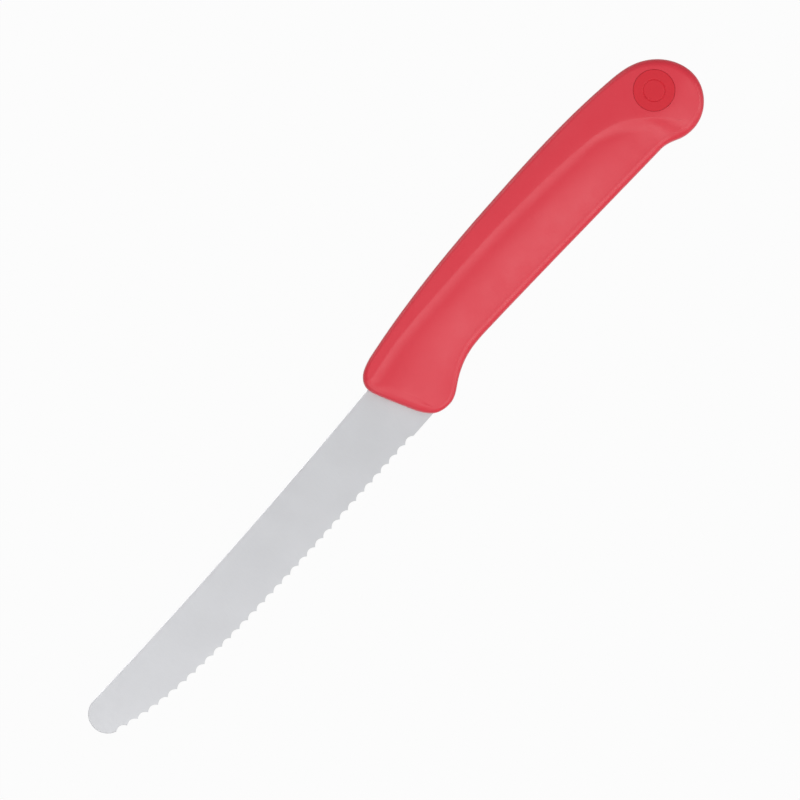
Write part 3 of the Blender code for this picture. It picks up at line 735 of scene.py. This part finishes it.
class Surface:
    """A Principled material whose nodes are placed in object coordinates, in metres."""

    def __init__(self, name, **values):
        self.material = bpy.data.materials.new(name)
        self.material.use_nodes = True
        self.tree = self.material.node_tree
        self.shader = self.tree.nodes["Principled BSDF"]
        for key, value in values.items():
            self.shader.inputs[key.replace("_", " ")].default_value = value
        self.place = self.tree.nodes.new("ShaderNodeTexCoord").outputs["Object"]

    def feed(self, socket, value):
        """Links an output to a socket, or sets the socket's own value."""
        if isinstance(value, bpy.types.NodeSocket):
            self.tree.links.new(value, socket)
        else:
            socket.default_value = value

    def stretched(self, x, y, z):
        """The object coordinates, multiplied along each axis."""
        node = self.tree.nodes.new("ShaderNodeMapping")
        self.feed(node.inputs["Vector"], self.place)
        node.inputs["Scale"].default_value = (x, y, z)
        return node.outputs["Vector"]

    def noise(self, cell, detail, roughness=0.5, place=None):
        """Noise between 0 and 1 whose cells are about so many metres across."""
        node = self.tree.nodes.new("ShaderNodeTexNoise")
        self.feed(node.inputs["Vector"], place or self.place)
        node.inputs["Scale"].default_value = 1.0 / cell
        node.inputs["Detail"].default_value = detail
        node.inputs["Roughness"].default_value = roughness
        return node.outputs["Fac"]

    def ranged(self, value, low, high, to_low, to_high):
        """A value's range mapped on another, clamped and eased."""
        node = self.tree.nodes.new("ShaderNodeMapRange")
        node.interpolation_type = "SMOOTHSTEP"
        self.feed(node.inputs["Value"], value)
        for key, number in (("From Min", low), ("From Max", high), ("To Min", to_low), ("To Max", to_high)):
            node.inputs[key].default_value = number
        return node.outputs["Result"]

    def combined(self, operation, first, second):
        """Two values combined by a named operation, such as ADD."""
        node = self.tree.nodes.new("ShaderNodeMath")
        node.operation = operation
        self.feed(node.inputs[0], first)
        self.feed(node.inputs[1], second)
        return node.outputs["Value"]

    def mixed(self, share, first, second):
        """Two colours mixed by a share."""
        node = self.tree.nodes.new("ShaderNodeMix")
        node.data_type = "RGBA"
        self.feed(node.inputs["Factor"], share)
        for key, colour in (("A", first), ("B", second)):
            socket = next(s for s in node.inputs if s.name == key and s.type == "RGBA")
            self.feed(socket, (*colour, 1.0) if isinstance(colour, tuple) else colour)
        return next(s for s in node.outputs if s.type == "RGBA")

    def edges(self, low, high):
        """0 on even surfaces and 1 on outward edges, between two levels of pointiness."""
        node = self.tree.nodes.new("ShaderNodeNewGeometry")
        return self.ranged(node.outputs["Pointiness"], low, high, 0.0, 1.0)

    def relief(self, depths):
        """Bump from pairs of a height value and its depth in metres."""
        normal = None
        for height, depth in depths:
            node = self.tree.nodes.new("ShaderNodeBump")
            node.inputs["Distance"].default_value = depth
            self.feed(node.inputs["Height"], height)
            if normal is not None:
                self.feed(node.inputs["Normal"], normal)
            normal = node.outputs["Normal"]
        self.feed(self.shader.inputs["Normal"], normal)


def moulded(name, plain, pale, deep, roughness, specular, grain_depth):
    """Satin moulded plastic: fine grain, faint clouds and specks in the colour, and convex edges painted
    paler as a highlight and made smoother.
    """
    look = Surface(name, Specular_IOR_Level=specular)
    clouds = look.noise(CLOUD_CELL, 4.0)
    specks = look.noise(SPECK_CELL, 2.0)
    colour = look.mixed(look.ranged(clouds, 0.3, 0.75, 0.0, 0.4), plain, pale)
    colour = look.mixed(look.ranged(specks, 0.55, 0.8, 0.0, 0.2), colour, deep)
    edge_sheen_and_smoothing = look.edges(*EDGE_SHEEN_AND_SMOOTHING)
    # Painted highlight: convex edges mixed towards the pale colour
    colour = look.mixed(look.combined("MULTIPLY", edge_sheen_and_smoothing, PAINTED_EDGE_SHEEN), colour, pale)
    look.feed(look.shader.inputs["Base Color"], colour)
    patches = look.noise(GLOSS_CELL, 5.0, 0.6)
    rough = look.ranged(patches, 0.3, 0.7, roughness - GLOSS_SPREAD, roughness + GLOSS_SPREAD)
    rough = look.combined("SUBTRACT", rough, look.combined("MULTIPLY", edge_sheen_and_smoothing, WORN_SMOOTHNESS))
    look.feed(look.shader.inputs["Roughness"], rough)
    look.relief([(look.noise(GRAIN_CELL, 2.0, 0.6), grain_depth), (look.noise(WAVE_CELL, 2.0), WAVE_DEPTH)])
    return look.material


def steel():
    """Satin steel: fine grain across the blade, and faint clouds in its colour and gloss."""
    look = Surface("satin steel", Metallic=1.0)
    grain = look.noise(STEEL_GRAIN_CELL, 3.0, 0.6, look.stretched(1.0, STEEL_GRAIN_STRETCH, 1.0))
    fine = look.noise(STEEL_FINE_CELL, 2.0)
    clouds = look.noise(STEEL_CLOUD_CELL, 4.0)
    colour = look.mixed(look.ranged(clouds, 0.3, 0.7, 0.0, 0.25), STEEL_PLAIN, STEEL_PALE)
    colour = look.mixed(look.ranged(grain, 0.4, 0.75, 0.0, 0.3), colour, STEEL_DEEP)
    look.feed(look.shader.inputs["Base Color"], colour)
    rough = look.ranged(clouds, 0.3, 0.7, STEEL_ROUGHNESS - STEEL_CLOUD_SPREAD,
                        STEEL_ROUGHNESS + STEEL_CLOUD_SPREAD)
    streaks = look.ranged(grain, 0.3, 0.7, -STEEL_GRAIN_SPREAD, STEEL_GRAIN_SPREAD)
    look.feed(look.shader.inputs["Roughness"], look.combined("ADD", rough, streaks))
    look.relief([(grain, STEEL_GRAIN_DEPTH), (fine, STEEL_FINE_DEPTH)])
    return look.material


# The knife

def medallion_profile():
    """The medallion from its middle outwards: a fine ring, a rounded edge, the underside and the stud."""
    radius = MEDALLION_DIAMETER / 2
    low = MEDALLION_RECESS - GRIP_WALL
    ring_in = RING_DIAMETER / 2 - RING_WIDTH
    profile = [(0.0, 0.0), (ring_in / 2, 0.0), (ring_in - FLAT_MARGIN, 0.0)]
    for k in range(RING_STEPS + 1):
        share = k / RING_STEPS
        profile.append((ring_in + RING_WIDTH * share, -RING_DEPTH * math.sin(math.pi * share) ** 2))
    profile += [(RING_DIAMETER / 2 + FLAT_MARGIN, 0.0), (radius - MEDALLION_ROUND - FLAT_MARGIN, 0.0)]
    for k in range(ROUND_STEPS + 1):
        angle = math.pi / 2 * k / ROUND_STEPS
        profile.append((radius - MEDALLION_ROUND * (1.0 - math.sin(angle)),
                        -MEDALLION_ROUND * (1.0 - math.cos(angle))))
    stud = STUD_DIAMETER / 2
    return profile + [(radius, low), (stud, low), (stud, low - STUD_LENGTH), (0.0, low - STUD_LENGTH)]


def window_profile():
    """The opening for the medallion, flared at the surface."""
    wide = MEDALLION_DIAMETER / 2 + WINDOW_GAP
    bottom = -GRIP_WALL - CUT_MARGIN
    return [(0.0, CUT_MARGIN), (wide + WINDOW_CHAMFER + CUT_MARGIN, CUT_MARGIN), (wide + WINDOW_CHAMFER, 0.0),
            (wide, -WINDOW_CHAMFER), (wide, bottom), (0.0, bottom)]


def make_blade(look):
    """The blade with its tang and two tang holes."""
    blade = put("serrated_blade", blade_mesh("serrated_blade"), look)
    bore = TANG_HOLE_DIAMETER / 2
    tall = [(0.0, HALF_THICKNESS), (bore, HALF_THICKNESS), (bore, -HALF_THICKNESS), (0.0, -HALF_THICKNESS)]
    cut(blade, *[revolved(f"cut_hole_{k}", tall, x, TANG_MIDDLE, 0.0) for k, x in enumerate(HOLE_PLACES)])
    finish_surface(blade, BLADE_SHARP_ANGLE)
    return blade


def make_grip(look):
    """The soft moulding: a closed shell with a slot for the blade and a window for the medallion."""
    grip = put("soft_grip", HandleBody(0.0, SHOWN).mesh("soft_grip"), look)
    cavity = put("cut_cavity", HandleBody(GRIP_WALL, HIDDEN).mesh("cut_cavity"))
    outside = front_face(SPINE_HEIGHT) - POCKET_LEAD
    pocket_outline = [(outside, SPINE_HEIGHT + JOINT), (outside, -HEEL_DEPTH - JOINT)] + root_outline(JOINT)
    pocket = plate("cut_pocket", pocket_outline, BLADE_THICKNESS / 2 + JOINT)
    window = revolved("cut_window", window_profile(), MEDALLION_PLACE, MEDALLION_HEIGHT, HALF_THICKNESS)
    cut(grip, cavity, pocket, window)
    finish_surface(grip, GRIP_SHARP_ANGLE)
    return grip


def make_medallion(look):
    """The pressed-in disc."""
    disc = revolved("inlaid_disc", medallion_profile(), MEDALLION_PLACE, MEDALLION_HEIGHT,
                    HALF_THICKNESS - MEDALLION_RECESS)
    disc.data.materials.append(look)
    finish_surface(disc, MEDALLION_SHARP_ANGLE)
    return disc


# Studio

def towards(east, north, up):
    """A direction in the frame from the picture's right, the picture's top and straight up."""
    angle = math.radians(PICTURE_ANGLE)
    right = Vector((math.cos(angle), -math.sin(angle), 0.0))
    top = Vector((math.sin(angle), math.cos(angle), 0.0))
    return right * east + top * north + Vector((0.0, 0.0, up))


def add_camera():
    """The camera, straight above the knife."""
    distance = PICTURE_WIDTH * LENS / SENSOR
    data = bpy.data.cameras.new("camera")
    data.lens = LENS
    data.sensor_width = SENSOR
    data.clip_end = CLIP_DISTANCES * distance
    camera = bpy.data.objects.new("camera", data)
    bpy.context.scene.collection.objects.link(camera)
    camera.location = (PICTURE_CENTRE_X, PICTURE_CENTRE_Y, HALF_THICKNESS + distance)
    camera.rotation_euler = (0.0, 0.0, -math.radians(PICTURE_ANGLE))
    bpy.context.scene.camera = camera


def softbox(name, direction, side, brightness):
    """A square softbox that faces the knife, with the brightness that its surface shows."""
    data = bpy.data.lights.new(name, "AREA")
    data.shape = "SQUARE"
    data.size = side
    data.energy = brightness * math.pi * side ** 2
    lamp = bpy.data.objects.new(name, data)
    bpy.context.scene.collection.objects.link(lamp)
    lamp.location = direction.normalized() * LAMP_DISTANCE
    lamp.rotation_euler = direction.to_track_quat("Z", "Y").to_euler()
    lamp.visible_camera = False


def add_lamps():
    """Square softboxes that stand round the knife, above it."""
    for name, compass, height, side, brightness in LAMPS:
        turn = math.radians(compass)
        rise = math.radians(height)
        way = towards(math.cos(turn) * math.cos(rise), math.sin(turn) * math.cos(rise), math.sin(rise))
        softbox(name, way, side, brightness)


def shows_white(tree, plain, white, share):
    """Mixes plain white into a shader where the camera, a reflection or a clear material sees it."""
    path = tree.nodes.new("ShaderNodeLightPath")
    seen = path.outputs["Is Camera Ray"]
    for key in ("Is Glossy Ray", "Is Transmission Ray"):
        either = tree.nodes.new("ShaderNodeMath")
        either.operation = "MAXIMUM"
        tree.links.new(seen, either.inputs[0])
        tree.links.new(path.outputs[key], either.inputs[1])
        seen = either.outputs["Value"]
    part = tree.nodes.new("ShaderNodeMath")
    part.operation = "MULTIPLY"
    part.inputs[1].default_value = share
    tree.links.new(seen, part.inputs[0])
    mix = tree.nodes.new("ShaderNodeMixShader")
    tree.links.new(part.outputs["Value"], mix.inputs["Fac"])
    tree.links.new(plain, mix.inputs[1])
    tree.links.new(white, mix.inputs[2])
    return mix.outputs["Shader"]


def add_floor():
    """A floor that shows almost white, but is dark, so that little light comes off it onto the knife."""
    half = FLOOR_SIZE / 2
    data = bpy.data.meshes.new("floor")
    data.from_pydata([(-half, -half, 0.0), (half, -half, 0.0), (half, half, 0.0), (-half, half, 0.0)],
                     [], [(0, 1, 2, 3)])
    floor = bpy.data.objects.new("floor", data)
    bpy.context.scene.collection.objects.link(floor)
    look = Surface("floor", Base_Color=(FLOOR_GREY, FLOOR_GREY, FLOOR_GREY, 1.0), Roughness=FLOOR_ROUGHNESS,
                   Specular_IOR_Level=0.0)
    glow = look.tree.nodes.new("ShaderNodeEmission")
    shown = shows_white(look.tree, look.shader.outputs["BSDF"], glow.outputs["Emission"], FLOOR_SHOWN_WHITE)
    look.tree.links.new(shown, look.tree.nodes["Material Output"].inputs["Surface"])
    data.materials.append(look.material)


def add_world():
    """Even soft light from all round."""
    world = bpy.data.worlds.new("studio")
    world.use_nodes = True
    bpy.context.scene.world = world
    plain = world.node_tree.nodes["Background"]
    plain.inputs["Color"].default_value = (1.0, 1.0, 1.0, 1.0)
    plain.inputs["Strength"].default_value = WORLD_LEVEL


def build():
    """Dresses the frame, and sets up the studio."""
    soft = moulded("soft red plastic", *GRIP_PLASTIC)
    inlay = moulded("inlay red plastic", *INLAY_PLASTIC)
    hard = moulded("hard red plastic", *CORE_PLASTIC)
    pieces = (
        (make_blade(steel()), "blade", "blade_steel"),
        (make_grip(soft), "handle_grip", "grip_plastic"),
        (make_medallion(inlay), "medallion", "medallion_plastic"),
    )
    for piece, node, slot in pieces:
        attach(piece, "root")
        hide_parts(node)
    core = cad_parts["handle_core"]
    core.data.materials.clear()
    core.data.materials.append(hard)

    add_camera()
    add_floor()
    add_world()
    add_lamps()
    bpy.context.scene.view_settings.view_transform = "Standard"


build()
